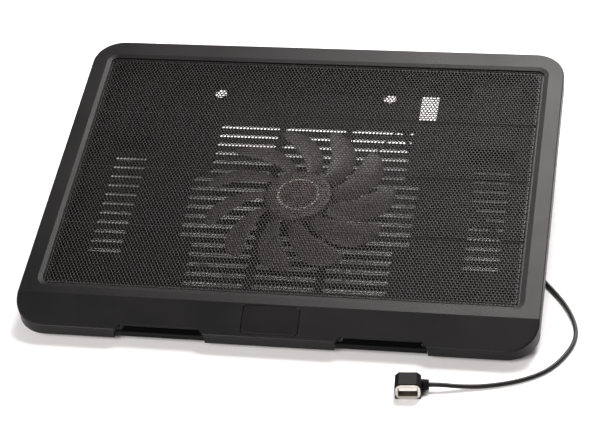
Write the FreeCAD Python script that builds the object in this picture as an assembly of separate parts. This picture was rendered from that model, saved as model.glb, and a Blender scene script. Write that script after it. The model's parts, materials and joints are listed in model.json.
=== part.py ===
import FreeCAD, Part
import math
import os

# Laptop cooling pad: a moulded top cover with a recessed steel mesh, a vented bottom shell,
# one large fan, two flip-out rear legs, two swing-up front stoppers and a short USB lead
# that ends in a pass-through plug.
#
# The pad is drawn in its own flat frame: x to the right, y = 0 at the rear edge and negative
# towards the front, z = 0 on the flat rim of the top cover.  Every piece is then leaned back
# and set down, so that +Z is up, z = 0 is the table, and the origin is under the middle.

# ---------------------------------------------------------------- overall sizes (mm, degrees)
pad_width = 360.0
pad_depth = 279.0
skirt_depth = 15.5
corner_radius = 22.0
wall = 2.2
edge_round = 1.2
lean_angle = 12.0

# front lip: the top slopes down from the crease to the front edge
lip_length = 24.0
lip_drop = 7.0

# mesh opening in the top cover
rim_side = 14.6
rim_rear = 17.4
rim_front = 9.6
opening_radius = 5.0
bevel_width = 3.4
bevel_drop = 0.7
rim_round = 1.5
seat_step = 1.1
ledge_width = 4.0
ledge_thick = 1.6
collar_wall = 2.2

mesh_thick = 0.5
mesh_gap = 1.0

# badge plate let into the lip
badge_width = 39.0
badge_height = 20.5
badge_thick = 1.2
badge_radius = 2.5
badge_gap = 0.35
badge_below_crease = 1.4

# bottom shell
shell_bottom = 20.0
shell_wall = 2.0
shell_inset_side = 13.0
shell_inset_rear = 13.0
shell_inset_front = 13.2
shell_rim_top = 6.0
shell_radius = 14.0
tray_round = 1.5
flange_thick = 2.0
flange_gap = 0.4
tray_under_lip_gap = 1.5

# vents in the floor of the shell
slot_width = 5.0
slot_pitch = 9.08
slot_rows = 18
first_slot_behind_fan = 77.3
slot_column_length = 45.6
slot_column_gap = 4.4
wide_row_first = 6
wide_row_last = 12
wide_row_extra = 11.0
side_slot_rows = 11
side_slot_from_pocket = 15.11
side_slot_length = 25.0
side_slot_centre = 134.5
hole_radius = 5.0
left_hole = (-79.0, -34.5)
right_hole = (51.0, -34.0)
stow_centre = (81.5, -42.5)
stow_size = (13.0, 27.0)
stow_radius = 1.5

# fan
fan_ahead_of_middle = 7.8
rotor_radius = 70.0
hub_radius = 24.0
hub_wall = 2.0
hub_top = 6.0
hub_bottom = 14.5
hub_top_thick = 1.6
blade_count = 11
blade_thick = 1.3
blade_high = 5.6
blade_low = 15.4
blade_fill = 0.66
blade_sweep = 30.0
blade_stations = 6
blade_root_lap = 1.2
blade_tip_gap = 1.5
shaft_radius = 1.5
shaft_clearance = 0.05
bush_wall = 1.0
bush_foot = 0.6
shaft_foot = 0.9
shaft_cap = 0.4
shaft_boss_radius = 3.2
shaft_boss_drop = 0.5
housing_gap = 0.4
housing_wall = 1.0
housing_top = 9.4
motor_plate_radius = 26.0
motor_plate_thick = 1.4
board_radius = 16.0
board_thick = 1.0
board_gap = 0.5
stator_radius = 18.4
stator_core_radius = 8.0
stator_thick = 4.0
stator_bottom = 14.2
stator_arm_width = 5.0
coil_thick = 1.2
coil_gap = 0.6
coil_overhang = 0.6
shoe_thick = 1.8
shoe_gap_half = 1.6
yoke_thick = 0.8
magnet_gap = 0.6
magnet_foot = 0.4
magnet_head = 0.6
fan_screw_circle = 23.5
fan_screw_radius = 1.0
fan_screw_head = 2.0
fan_screw_head_thick = 1.0
fan_screw_tip_gap = 0.3
slot_keepout = 28.0
ring_outer = 15.4
ring_inner = 13.6
ring_thick = 0.5
label_thick = 0.2
label_gap = 0.2
lead_radius = 0.8
lead_channel_gap = 0.3
lead_channel_start = 2.5
lead_channel_board_lap = 4.0
lead_in_angle = -58.0
lead_bends = [(50.0, -89.0), (42.0, -110.0), (37.5, -134.0), (37.0, -155.0), (33.0, -171.0)]

# front stoppers
stopper_centre = 76.0
notch_front_half = 31.5
notch_back_half = 27.0
notch_depth = 4.6
bay_gap = 0.5
bay_depth = 27.0
ear_width = 4.0
ear_depth = 7.0
tongue_side_gap = 0.6
lip_plate = 2.6
stopper_length = 24.0
stopper_shoulder = 14.5
stopper_tab_half = 13.0
stopper_thick = 2.6
stopper_barrel = 2.2
barrel_end_gap = 0.6
stopper_pin_radius = 0.9
stopper_pin_from_front = 2.8
stopper_pin_height = 13.1
grip_thick = 0.8
grip_length = 9.0
grip_half = 10.5
hinge_clearance = 0.05
stopper_corner = 2.9
grip_inset = 2.0
grip_corner = 2.0
stopper_pin_wall = 0.8
stopper_pin_end_gap = 0.4

# rear legs
leg_centre = 132.0
leg_pin_from_rear = 30.0
leg_pin_height = 15.5
leg_pin_radius = 1.5
leg_knuckle = 3.0
leg_thick = 5.0
leg_root_half = 14.0
leg_end_half = 11.5
leg_cap_length = 8.0
leg_tip_radius = 3.0
pocket_side_gap = 1.2
pocket_end_gap = 2.4
pocket_rear_gap = 0.4
pocket_ceiling = 11.0
pocket_wall = 2.5
leg_pin_wall = 0.6
leg_pin_end_gap = 0.2
tenon_side = 2.0
tenon_half = 1.4
tenon_end_gap = 1.0
leg_window_side = 4.5
leg_window_depth = 1.6
leg_window_foot = 5.0
leg_window_head = 6.0

# rubber feet under the shell
foot_radius = 4.0
foot_sink = 0.8
front_foot_from_front = 21.0
front_foot_centre = 136.0
front_foot_length = 44.0
rear_pad_from_rear = 22.0
rear_pad_centre = 90.0
rear_pad_length = 36.0

# case screws
case_screw_radius = 1.25
case_screw_head = 2.4
case_screw_head_thick = 1.6
case_screw_length = 7.0
case_screw_clearance = 0.25
case_screw_tip_gap = 0.5
cross_half = 1.5
cross_slit_half = 0.3
cross_depth = 0.8
boss_radius = 3.0
boss_line = 7.6
boss_side_spread = 135.0
boss_side_from_rear = 130.0

# cable gland under the shell
gland_x = 66.0
gland_behind_slots = 8.0
gland_neck = 3.6
gland_flange = 6.0
gland_flange_thick = 1.5
gland_sleeve_length = 10.0
gland_root = 3.4
gland_tip = 2.3

# USB lead.  The route is in the standing frame: x, y, z with the table at z = 0.
cord_radius = 1.5
cord_route = [
    (66.0, 80.0, 33.5),
    (66.0, 82.1, 23.7),
    (70.5, 83.4, 14.9),
    (77.5, 81.5, 7.8),
    (88.0, 75.5, 3.6),
    (103.0, 60.0, 1.7),
    (120.0, 37.0, 1.5),
    (139.0, 10.5, 1.5),
    (158.0, -16.5, 1.5),
    (177.0, -44.0, 1.5),
    (192.0, -66.0, 1.5),
    (201.0, -87.0, 1.5),
    (203.5, -105.0, 1.5),
    (197.5, -124.0, 1.5),
    (186.5, -141.5, 1.5),
    (169.0, -153.0, 1.5),
    (148.0, -160.0, 1.5),
    (131.0, -162.8, 2.5),
    (119.5, -164.5, 4.6),
    (111.8, -165.2, 4.6),
]

# pass-through USB plug, in its own frame: x across, y to the rear, z up from the table
plug_place = (99.2, -175.4)
plug_turn = 5.3
plug_half = 8.5
plug_height = 12.6
plug_depth = 12.2
plug_shoulder = 10.0
plug_top_half = 5.8
port_centre_x = 0.2
port_centre_z = 6.2
port_frame = (16.2, 11.4, 4.0)
port_sleeve = (13.6, 7.6, 1.2)
port_hole = (12.8, 6.8, 0.8)
port_depth = 11.4
frame_proud = 0.6
frame_back = 1.4
tongue_width = 11.6
tongue_thick = 2.4
tongue_above_centre = 0.5
tongue_setback = 0.2
contact_count = 4
contact_pitch = 2.5
contact_width = 1.2
contact_thick = 0.25
contact_setback = 0.6
male_size = (12.0, 4.5)
male_wall = 0.3
male_length = 11.7
male_bottom = 0.3
male_tongue_thick = 1.9
male_tongue_setback = 0.4
boot_length = 5.0
boot_root = 3.9
boot_end = 3.5
boot_from_front = 9.0
boot_height = 4.6

# ---------------------------------------------------------------- places worked out from those
half_width = pad_width / 2
front_y = -pad_depth
crease_y = -(pad_depth - lip_length)
lip_angle = math.degrees(math.atan2(lip_drop, lip_length))
open_half = half_width - rim_side
open_rear = -rim_rear
open_front = crease_y + rim_front
seat_z = -(bevel_drop + seat_step)
lean = math.radians(lean_angle)
floor_z = -shell_bottom + shell_wall
fan_y = -pad_depth / 2 - fan_ahead_of_middle
first_slot_y = fan_y + first_slot_behind_fan
gland_centre = (gland_x, first_slot_y + gland_behind_slots)
front_foot_y = front_y + front_foot_from_front
shell_half = half_width - shell_inset_side
shell_rear = -shell_inset_rear
shell_front = front_y + shell_inset_front
stopper_pin_y = front_y + stopper_pin_from_front
tongue_half = notch_back_half - tongue_side_gap
barrel_half = notch_front_half - barrel_end_gap
leg_pin_y = -leg_pin_from_rear
bay_half = notch_front_half + ear_width + bay_gap
bay_back = front_y + bay_depth

# height of the pad frame's origin over the table, so that the front feet touch it
lift = foot_radius - front_foot_y * math.sin(lean) + shell_bottom * math.cos(lean)
# shift that puts the middle of the leaned pad over the origin
rear_reach = skirt_depth * math.sin(lean)
front_reach = front_y * math.cos(lean) + lip_drop * math.sin(lean)
shift = -(rear_reach + front_reach) / 2
# distance from a leg's pin to the centre of its round tip, so that the tip touches the table
tip_z = (leg_tip_radius - lift - leg_pin_y * math.sin(lean)) / math.cos(lean)
leg_reach = -leg_pin_height - tip_z
pocket_front = leg_pin_y - leg_reach - leg_tip_radius - pocket_end_gap
side_slot_start = pocket_front - pocket_wall - side_slot_from_pocket

parts = {}


# ---------------------------------------------------------------- small helpers
def vec(x, y, z):
    return FreeCAD.Vector(x, y, z)


def box(x0, x1, y0, y1, z0, z1):
    return Part.makeBox(x1 - x0, y1 - y0, z1 - z0, vec(x0, y0, z0))


def disc(radius, z0, z1, x=0.0, y=0.0):
    return Part.makeCylinder(radius, z1 - z0, vec(x, y, z0))


def tube(outer, inner, z0, z1, x=0.0, y=0.0):
    return disc(outer, z0, z1, x, y).cut(disc(inner, z0 - 1, z1 + 1, x, y))


def bar(radius, x0, x1, y, z):
    return Part.makeCylinder(radius, x1 - x0, vec(x0, y, z), vec(1, 0, 0))


def rounded_outline(x0, x1, y0, y1, radius, z):
    """Rectangle with quarter-circle corners, as a closed wire."""
    k = radius * (1 - math.sqrt(0.5))
    straights = [
        (vec(x0 + radius, y0, z), vec(x1 - radius, y0, z)),
        (vec(x1, y0 + radius, z), vec(x1, y1 - radius, z)),
        (vec(x1 - radius, y1, z), vec(x0 + radius, y1, z)),
        (vec(x0, y1 - radius, z), vec(x0, y0 + radius, z)),
    ]
    middles = [
        vec(x1 - k, y0 + k, z),
        vec(x1 - k, y1 - k, z),
        vec(x0 + k, y1 - k, z),
        vec(x0 + k, y0 + k, z),
    ]
    edges = []
    for i, (start, end) in enumerate(straights):
        edges.append(Part.LineSegment(start, end).toShape())
        following = straights[(i + 1) % 4][0]
        edges.append(Part.Arc(end, middles[i], following).toShape())
    return Part.Wire(edges)


def rounded_plate(x0, x1, y0, y1, radius, z0, z1):
    outline = rounded_outline(x0, x1, y0, y1, radius, z0)
    return Part.Face(outline).extrude(vec(0, 0, z1 - z0))


def side_profile(points, x0, x1):
    """Prism along x over a (y, z) polygon."""
    corners = [vec(x0, y, z) for y, z in points]
    outline = Part.makePolygon(corners + corners[:1])
    return Part.Face(outline).extrude(vec(x1 - x0, 0, 0))


def plan_profile(points, z0, z1):
    """Prism along z over an (x, y) polygon."""
    corners = [vec(x, y, z0) for x, y in points]
    outline = Part.makePolygon(corners + corners[:1])
    return Part.Face(outline).extrude(vec(0, 0, z1 - z0))


def slot(x0, x1, y, z0, z1):
    """Slot with round ends along x."""
    return rounded_plate(x0, x1, y - slot_width / 2, y + slot_width / 2, slot_width / 2 - 0.01, z0, z1)


def fuse_all(shapes):
    return shapes[0].multiFuse(shapes[1:]).removeSplitter()


def at_fan(shape):
    shape.translate(vec(0, fan_y, 0))
    return shape


def stand(shape):
    """Lean a piece drawn in the pad frame back and set it on the table."""
    leaned = shape.copy()
    leaned.rotate(vec(0, 0, 0), vec(1, 0, 0), lean_angle)
    leaned.translate(vec(0, shift, lift))
    return leaned


def at_plug(shape):
    placed = shape.copy()
    placed.rotate(vec(0, 0, 0), vec(0, 0, 1), plug_turn)
    placed.translate(vec(plug_place[0], plug_place[1], 0))
    return placed


def on_lip(shape):
    """Place a piece drawn flat, with y = 0 on the crease, on the sloping lip."""
    placed = shape.copy()
    placed.rotate(vec(0, 0, 0), vec(1, 0, 0), lip_angle)
    placed.translate(vec(0, crease_y, 0))
    return placed


def above_lip(drop):
    """Wedge of everything above the lip's surface lowered by drop."""
    reach = 1.4 * lip_length
    fall = reach * lip_drop / lip_length
    points = [
        (crease_y, -drop),
        (crease_y - reach, -drop - fall),
        (crease_y - reach, 10.0),
        (crease_y, 10.0),
    ]
    return side_profile(points, -half_width - 5, half_width + 5)


def boss_places():
    """Centres of the screw bosses round the case, clear of the stopper bays."""
    rear = -boss_line
    front = front_y + boss_line + wall
    side = half_width - boss_line
    places = [(0.0, rear), (0.0, front)]
    for sign in (-1, 1):
        places.append((sign * boss_side_spread, rear))
        places.append((sign * boss_side_spread, front))
        places.append((sign * side, -boss_side_from_rear))
    return places


# ---------------------------------------------------------------- top cover and its trim
def make_top_cover():
    body = rounded_plate(-half_width, half_width, front_y, 0, corner_radius, -skirt_depth, 0)
    body = body.cut(above_lip(0.0))
    top_edges = [edge for edge in body.Edges if edge.BoundBox.ZMin > -lip_drop - 0.01]
    body = body.makeFillet(edge_round, top_edges)

    inner_half = half_width - wall
    cavity = rounded_plate(-inner_half, inner_half, front_y + wall, -wall,
                           corner_radius - wall, -skirt_depth - 1, -wall)
    cavity = cavity.cut(above_lip(wall))
    body = body.cut(cavity)

    ledge_z = seat_z - ledge_thick
    collar = rounded_plate(-open_half - collar_wall, open_half + collar_wall,
                           open_front - collar_wall, open_rear + collar_wall,
                           opening_radius + collar_wall, ledge_z, -wall / 2)
    body = body.fuse(collar)
    opening = rounded_plate(-open_half, open_half, open_front, open_rear, opening_radius, seat_z, 5)
    window = rounded_plate(-open_half + ledge_width, open_half - ledge_width,
                           open_front + ledge_width, open_rear - ledge_width,
                           opening_radius, ledge_z - 1, 5)
    rise = bevel_drop + 1.0
    spread = bevel_width * rise / bevel_drop
    low = rounded_outline(-open_half, open_half, open_front, open_rear, opening_radius, -bevel_drop)
    high = rounded_outline(-open_half - spread, open_half + spread, open_front - spread,
                           open_rear + spread, opening_radius + spread, rise - bevel_drop)
    bevel = Part.makeLoft([low, high], True, True)
    body = body.cut(opening).cut(window).cut(bevel)
    rim_x = open_half + bevel_width + 0.1
    rim_edges = [edge for edge in body.Edges
                 if edge.BoundBox.ZMin > -0.01 and edge.BoundBox.XMax < rim_x
                 and edge.BoundBox.XMin > -rim_x and edge.BoundBox.YMin > crease_y + 1]
    body = body.makeFillet(rim_round, rim_edges)

    extras = []
    for x, y in boss_places():
        boss = disc(boss_radius, -skirt_depth + flange_thick, -wall / 2, x, y)
        extras.append(boss.cut(above_lip(wall / 2)))
    for sign in (-1, 1):
        for end in (-1, 1):
            inner = sign * stopper_centre + end * notch_front_half
            outer = inner + end * ear_width
            extras.append(box(min(inner, outer), max(inner, outer), front_y + edge_round,
                              front_y + ear_depth, -skirt_depth, -lip_drop))
    body = fuse_all([body] + extras)

    cuts = []
    for x, y in boss_places():
        cuts.append(disc(case_screw_radius, -skirt_depth - 1,
                         -skirt_depth + case_screw_length, x, y))
    for sign in (-1, 1):
        centre = sign * stopper_centre
        outline = [
            (centre - notch_front_half, front_y - 1),
            (centre + notch_front_half, front_y - 1),
            (centre + notch_front_half, front_y),
            (centre + notch_back_half, front_y + notch_depth),
            (centre - notch_back_half, front_y + notch_depth),
            (centre - notch_front_half, front_y),
        ]
        cuts.append(plan_profile(outline, -skirt_depth - 1, 1))
        cuts.append(box(centre - notch_front_half, centre + notch_front_half, front_y - 1,
                        front_y + ear_depth, -skirt_depth - 1, -lip_drop - lip_plate))
        reach = notch_front_half + ear_width - stopper_pin_wall
        cuts.append(bar(stopper_pin_radius, centre - reach, centre + reach,
                        stopper_pin_y, -stopper_pin_height))
    recess = rounded_plate(-badge_width / 2 - badge_gap, badge_width / 2 + badge_gap,
                           -badge_below_crease - badge_height - badge_gap,
                           -badge_below_crease + badge_gap,
                           badge_radius + badge_gap, -badge_thick, 3)
    cuts.append(on_lip(recess))
    for cutter in cuts:
        body = body.cut(cutter)
    return body


def make_badge():
    plate = rounded_plate(-badge_width / 2, badge_width / 2,
                          -badge_below_crease - badge_height, -badge_below_crease,
                          badge_radius, -badge_thick, 0)
    return on_lip(plate)


def make_mesh_panel():
    half = open_half - mesh_gap
    return rounded_plate(-half, half, open_front + mesh_gap, open_rear - mesh_gap,
                         opening_radius - mesh_gap, seat_z, seat_z + mesh_thick)


# ---------------------------------------------------------------- bottom shell
def leg_pocket(sign, grow, top):
    """Space for one folded leg, grown by the thickness of its walls."""
    half = leg_root_half + pocket_side_gap + grow
    rear = leg_pin_y + leg_knuckle + pocket_rear_gap + grow
    front = pocket_front - grow
    centre = sign * leg_centre
    return box(centre - half, centre + half, front, rear, -shell_bottom - 1, top)


def stopper_bay(sign, grow):
    centre = sign * stopper_centre
    half = bay_half + grow
    return box(centre - half, centre + half, front_y - 5, bay_back + grow, -shell_bottom - 5, 5)


def vent_cutters():
    z0 = -shell_bottom - 1
    z1 = floor_z + 1
    cutters = []
    step = slot_column_length + slot_column_gap
    for row in range(slot_rows):
        y = first_slot_y - row * slot_pitch
        extra = wide_row_extra if wide_row_first <= row <= wide_row_last else 0.0
        half = slot_column_length / 2
        cutters.append(slot(-step - half - extra, -step + half, y, z0, z1))
        cutters.append(slot(-half, half, y, z0, z1))
        cutters.append(slot(step - half, step + half + extra, y, z0, z1))
    for row in range(side_slot_rows):
        y = side_slot_start - row * slot_pitch
        for sign in (-1, 1):
            middle = sign * side_slot_centre
            cutters.append(slot(middle - side_slot_length / 2, middle + side_slot_length / 2, y, z0, z1))
    vents = Part.makeCompound(cutters).cut(disc(slot_keepout, z0 - 1, z1 + 1, 0, fan_y))
    return vents


def foot_bar(centre, length, y):
    """Rubber bar with a half-round underside, its flat back let into the shell."""
    whole = bar(foot_radius, centre - length / 2, centre + length / 2, y, -shell_bottom)
    above = box(centre - length, centre + length, y - 2 * foot_radius, y + 2 * foot_radius,
                -shell_bottom + foot_sink, -shell_bottom + 2 * foot_radius)
    return whole.cut(above)


def foot_bars():
    bars = {"front_feet": [], "rear_pads": []}
    for sign in (-1, 1):
        bars["front_feet"].append(foot_bar(sign * front_foot_centre, front_foot_length, front_foot_y))
        bars["rear_pads"].append(foot_bar(sign * rear_pad_centre, rear_pad_length, -rear_pad_from_rear))
    return bars


def make_bottom_shell():
    tray = rounded_plate(-shell_half, shell_half, shell_front, shell_rear, shell_radius,
                         -shell_bottom, -shell_rim_top)
    under_edges = [edge for edge in tray.Edges if edge.BoundBox.ZMax < -shell_bottom + 0.01]
    tray = tray.makeFillet(tray_round, under_edges)
    tray = tray.cut(above_lip(wall + tray_under_lip_gap))
    flange_half = half_width - wall - flange_gap
    flange = rounded_plate(-flange_half, flange_half, front_y + wall + flange_gap,
                           -wall - flange_gap, corner_radius - wall - flange_gap,
                           -skirt_depth, -skirt_depth + flange_thick)
    solid = tray.fuse(flange)
    hollow = rounded_plate(-shell_half + shell_wall, shell_half - shell_wall,
                           shell_front + shell_wall, shell_rear - shell_wall,
                           shell_radius - shell_wall, floor_z, 5)
    for sign in (-1, 1):
        solid = solid.cut(stopper_bay(sign, 0.0))
        hollow = hollow.cut(stopper_bay(sign, shell_wall))
        hollow = hollow.cut(leg_pocket(sign, pocket_wall, -pocket_ceiling + shell_wall))
    shell = solid.cut(hollow)
    for sign in (-1, 1):
        shell = shell.cut(leg_pocket(sign, 0.0, -pocket_ceiling))
        pin_half = leg_root_half + pocket_side_gap + pocket_wall - leg_pin_wall
        centre = sign * leg_centre
        shell = shell.cut(bar(leg_pin_radius, centre - pin_half, centre + pin_half,
                              leg_pin_y, -leg_pin_height))
    shell = shell.cut(vent_cutters())
    for x, y in (left_hole, right_hole):
        shell = shell.cut(disc(hole_radius, -shell_bottom - 1, floor_z + 1, x, y))
    sx, sy = stow_size
    cx, cy = stow_centre
    shell = shell.cut(rounded_plate(cx - sx / 2, cx + sx / 2, cy - sy / 2, cy + sy / 2, stow_radius,
                                    -shell_bottom - 1, floor_z + 1))
    shell = shell.cut(disc(gland_neck, -shell_bottom - 1, floor_z + 1, *gland_centre))
    for x, y in boss_places():
        shell = shell.cut(disc(case_screw_radius + case_screw_clearance, -skirt_depth - 1,
                               -skirt_depth + flange_thick + 1, x, y))
    for x, y in fan_screw_places():
        shell = shell.cut(disc(fan_screw_radius, -shell_bottom - 1, floor_z + 1, x, y))
    for bars in foot_bars().values():
        for one in bars:
            shell = shell.cut(one)
    return shell


def case_screws():
    screws = []
    low = -skirt_depth - case_screw_head_thick
    for x, y in boss_places():
        head = disc(case_screw_head, low, -skirt_depth, x, y)
        cross = box(x - cross_half, x + cross_half, y - cross_slit_half, y + cross_slit_half,
                    low - 1, low + cross_depth)
        other = box(x - cross_slit_half, x + cross_slit_half, y - cross_half, y + cross_half,
                    low - 1, low + cross_depth)
        shank = disc(case_screw_radius, -skirt_depth - 0.2,
                     -skirt_depth + case_screw_length - case_screw_tip_gap, x, y)
        screws.append(head.fuse(shank).cut(cross).cut(other))
    return Part.makeCompound(screws)


# ---------------------------------------------------------------- fan: fixed pieces
def fan_screw_places():
    places = []
    for turn in range(3):
        angle = math.radians(90 + 120 * turn)
        places.append((fan_screw_circle * math.cos(angle), fan_y + fan_screw_circle * math.sin(angle)))
    return places


def make_motor_plate():
    top = floor_z + motor_plate_thick
    bush_outer = shaft_radius + shaft_clearance + bush_wall
    plate = disc(motor_plate_radius, floor_z, top)
    housing = disc(bush_outer + housing_wall, floor_z, -housing_top)
    plate = plate.fuse(housing).cut(disc(bush_outer, floor_z + bush_foot, 0))
    channel_half = lead_radius + lead_channel_gap
    channel = box(lead_channel_start, motor_plate_radius + 1, -channel_half, channel_half,
                  floor_z - 1, top + 1)
    channel = channel.cut(disc(board_radius - lead_channel_board_lap, floor_z - 2, top + 2))
    channel.rotate(vec(0, 0, 0), vec(0, 0, 1), lead_in_angle)
    plate = at_fan(plate.cut(channel))
    for x, y in fan_screw_places():
        plate = plate.cut(disc(fan_screw_radius, floor_z - 1, top + 1, x, y))
    return plate


def make_fan_screws():
    top = floor_z + motor_plate_thick
    screws = []
    for x, y in fan_screw_places():
        head = disc(fan_screw_head, top, top + fan_screw_head_thick, x, y)
        shank = disc(fan_screw_radius, -shell_bottom + fan_screw_tip_gap, top + 0.2, x, y)
        screws.append(head.fuse(shank))
    return Part.makeCompound(screws)


def make_board():
    bottom = floor_z + motor_plate_thick + board_gap
    housing = shaft_radius + shaft_clearance + bush_wall + housing_wall
    return at_fan(tube(board_radius, housing, bottom, bottom + board_thick))


def make_bush():
    inner = shaft_radius + shaft_clearance
    return at_fan(tube(inner + bush_wall, inner, floor_z + bush_foot, -housing_top))


def make_stator_core():
    housing = shaft_radius + shaft_clearance + bush_wall + housing_wall
    z0 = -stator_bottom
    z1 = z0 + stator_thick
    core = disc(stator_core_radius, z0, z1)
    arms = box(-stator_radius + 1, stator_radius - 1, -stator_arm_width / 2, stator_arm_width / 2, z0, z1)
    cross = box(-stator_arm_width / 2, stator_arm_width / 2, -stator_radius + 1, stator_radius - 1, z0, z1)
    core = core.fuse(arms).fuse(cross)
    shoes = tube(stator_radius, stator_radius - shoe_thick, z0, z1)
    for turn in range(4):
        gap = box(0, stator_radius + 2, -shoe_gap_half, shoe_gap_half, z0 - 1, z1 + 1)
        gap.rotate(vec(0, 0, 0), vec(0, 0, 1), 45 + 90 * turn)
        shoes = shoes.cut(gap)
    core = core.fuse(shoes).cut(disc(housing, z0 - 1, z1 + 1)).removeSplitter()
    return at_fan(core)


def make_stator_coils():
    z0 = -stator_bottom
    z1 = z0 + stator_thick
    coils = []
    near = stator_core_radius + coil_gap
    far = stator_radius - shoe_thick - coil_gap
    half = stator_arm_width / 2
    for turn in range(4):
        ring = box(near, far, -half - coil_thick, half + coil_thick,
                   z0 - coil_overhang, z1 + coil_overhang)
        hole = box(near - 1, far + 1, -half, half, z0, z1)
        coil = ring.cut(hole)
        coil.rotate(vec(0, 0, 0), vec(0, 0, 1), 90 * turn)
        coils.append(at_fan(coil))
    return Part.makeCompound(coils)


# ---------------------------------------------------------------- fan: turning pieces
def blade_section(radius, angle):
    """Thin sloping quad across the air flow at one radius."""
    pitch_width = 2 * math.pi * radius / blade_count
    half = blade_fill * pitch_width / 2
    out = vec(math.sin(angle), math.cos(angle), 0)
    along = vec(math.cos(angle), -math.sin(angle), 0)
    middle = -(blade_high + blade_low) / 2
    rise = (blade_low - blade_high) / 2 - blade_thick / 2
    length = math.hypot(half, rise)
    tilt_side = blade_thick / 2 * rise / length
    tilt_up = blade_thick / 2 * half / length
    corners = []
    for s, z, side in ((-half, rise, 1), (half, -rise, 1), (half, -rise, -1), (-half, rise, -1)):
        point = out * radius + along * (s + side * tilt_side)
        corners.append(vec(point.x, point.y, middle + z + side * tilt_up))
    return Part.makePolygon(corners + corners[:1])


def make_fan_rotor():
    pieces = [disc(hub_radius, -hub_bottom, -hub_top)]
    root = hub_radius - blade_root_lap
    tip = rotor_radius - blade_tip_gap
    for blade in range(blade_count):
        wires = []
        for i in range(blade_stations):
            share = i / (blade_stations - 1)
            radius = root + share * (tip - root)
            turn = 360.0 * blade / blade_count + blade_sweep * (0.5 - share)
            wires.append(blade_section(radius, math.radians(turn)))
        pieces.append(Part.makeLoft(wires, True, False))
    rotor = pieces[0].multiFuse(pieces[1:])
    inner = hub_radius - hub_wall
    rotor = rotor.cut(disc(inner, -hub_bottom - 5, -hub_top - hub_top_thick))
    rotor = rotor.fuse(disc(shaft_boss_radius, -housing_top + housing_gap, -hub_top - shaft_boss_drop))
    rotor = rotor.cut(disc(shaft_radius, -hub_bottom - 5, -hub_top - shaft_cap))
    return at_fan(rotor)


def make_rotor_fittings():
    shaft = disc(shaft_radius, floor_z + shaft_foot, -hub_top - shaft_cap)
    top = -hub_top - hub_top_thick
    yoke_outer = hub_radius - hub_wall
    yoke = tube(yoke_outer, yoke_outer - yoke_thick, -hub_bottom, top)
    magnet_outer = yoke_outer - yoke_thick
    magnet = tube(magnet_outer, stator_radius + magnet_gap, -hub_bottom + magnet_foot, top - magnet_head)
    parts["fan_shaft"] = at_fan(shaft)
    parts["rotor_yoke"] = at_fan(yoke)
    parts["rotor_magnet"] = at_fan(magnet)
    parts["hub_ring"] = at_fan(tube(ring_outer, ring_inner, -hub_top, -hub_top + ring_thick))
    parts["hub_label"] = at_fan(disc(ring_inner - label_gap, -hub_top, -hub_top + label_thick))


# ---------------------------------------------------------------- hinged pieces
def make_stopper(sign):
    """Flat tongue lying under the lip, with a barrel round its pin and a rubber face."""
    centre = sign * stopper_centre
    pin_z = -stopper_pin_height
    half = stopper_thick / 2
    far = stopper_pin_y + stopper_length
    shoulder = stopper_pin_y + stopper_shoulder
    tongue = rounded_plate(centre - tongue_half, centre + tongue_half, stopper_pin_y - stopper_corner,
                           shoulder, stopper_corner, pin_z - half, pin_z + half)
    tab = rounded_plate(centre - stopper_tab_half, centre + stopper_tab_half,
                        stopper_pin_y + stopper_corner, far, stopper_corner, pin_z - half, pin_z + half)
    tongue = tongue.fuse(tab)
    keep = box(centre - pad_width, centre + pad_width, stopper_pin_y, far + 1, pin_z - 5, pin_z + 5)
    barrel = bar(stopper_barrel, centre - barrel_half, centre + barrel_half, stopper_pin_y, pin_z)
    stopper = tongue.common(keep).fuse(barrel).removeSplitter()
    stopper = stopper.cut(bar(stopper_pin_radius + hinge_clearance, centre - pad_width,
                              centre + pad_width, stopper_pin_y, pin_z))
    strip = rounded_plate(centre - grip_half, centre + grip_half,
                          far - grip_inset - grip_length, far - grip_inset, grip_corner,
                          pin_z + half - grip_thick / 2, pin_z + half + grip_thick / 2)
    stopper = stopper.cut(strip)
    return stopper, strip


def make_stopper_pin(sign):
    centre = sign * stopper_centre
    reach = notch_front_half + ear_width - stopper_pin_wall - stopper_pin_end_gap
    return bar(stopper_pin_radius, centre - reach, centre + reach, stopper_pin_y, -stopper_pin_height)


def make_leg(sign):
    """Leg hanging straight down from its pin, and the rubber cap on its end."""
    centre = sign * leg_centre
    pin_z = -leg_pin_height
    cap_top = pin_z - leg_reach + leg_cap_length
    tenon_end = pin_z - leg_reach + tenon_end_gap
    half = leg_thick / 2
    corners = [
        vec(centre - leg_root_half, leg_pin_y - half, pin_z),
        vec(centre + leg_root_half, leg_pin_y - half, pin_z),
        vec(centre + leg_end_half, leg_pin_y - half, cap_top),
        vec(centre - leg_end_half, leg_pin_y - half, cap_top),
    ]
    blade = Part.Face(Part.makePolygon(corners + corners[:1])).extrude(vec(0, leg_thick, 0))
    knuckle = bar(leg_knuckle, centre - leg_root_half, centre + leg_root_half, leg_pin_y, pin_z)
    tenon_reach = leg_end_half - tenon_side
    tenon = box(centre - tenon_reach, centre + tenon_reach, leg_pin_y - tenon_half,
                leg_pin_y + tenon_half, tenon_end, cap_top + 1)
    leg = fuse_all([blade, knuckle, tenon])
    window_half = leg_end_half - leg_window_side
    window = box(centre - window_half, centre + window_half, leg_pin_y + half - leg_window_depth,
                 leg_pin_y + half + 1, cap_top + leg_window_foot, pin_z - leg_knuckle - leg_window_head)
    leg = leg.cut(window)
    leg = leg.cut(bar(leg_pin_radius + hinge_clearance, centre - 2 * leg_root_half,
                      centre + 2 * leg_root_half, leg_pin_y, pin_z))
    tip_centre = pin_z - leg_reach
    cap = bar(leg_tip_radius, centre - leg_end_half, centre + leg_end_half, leg_pin_y, tip_centre)
    cap = cap.fuse(box(centre - leg_end_half, centre + leg_end_half, leg_pin_y - leg_tip_radius,
                       leg_pin_y + leg_tip_radius, tip_centre, cap_top))
    cap = cap.removeSplitter().cut(tenon)
    return leg, cap


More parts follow.
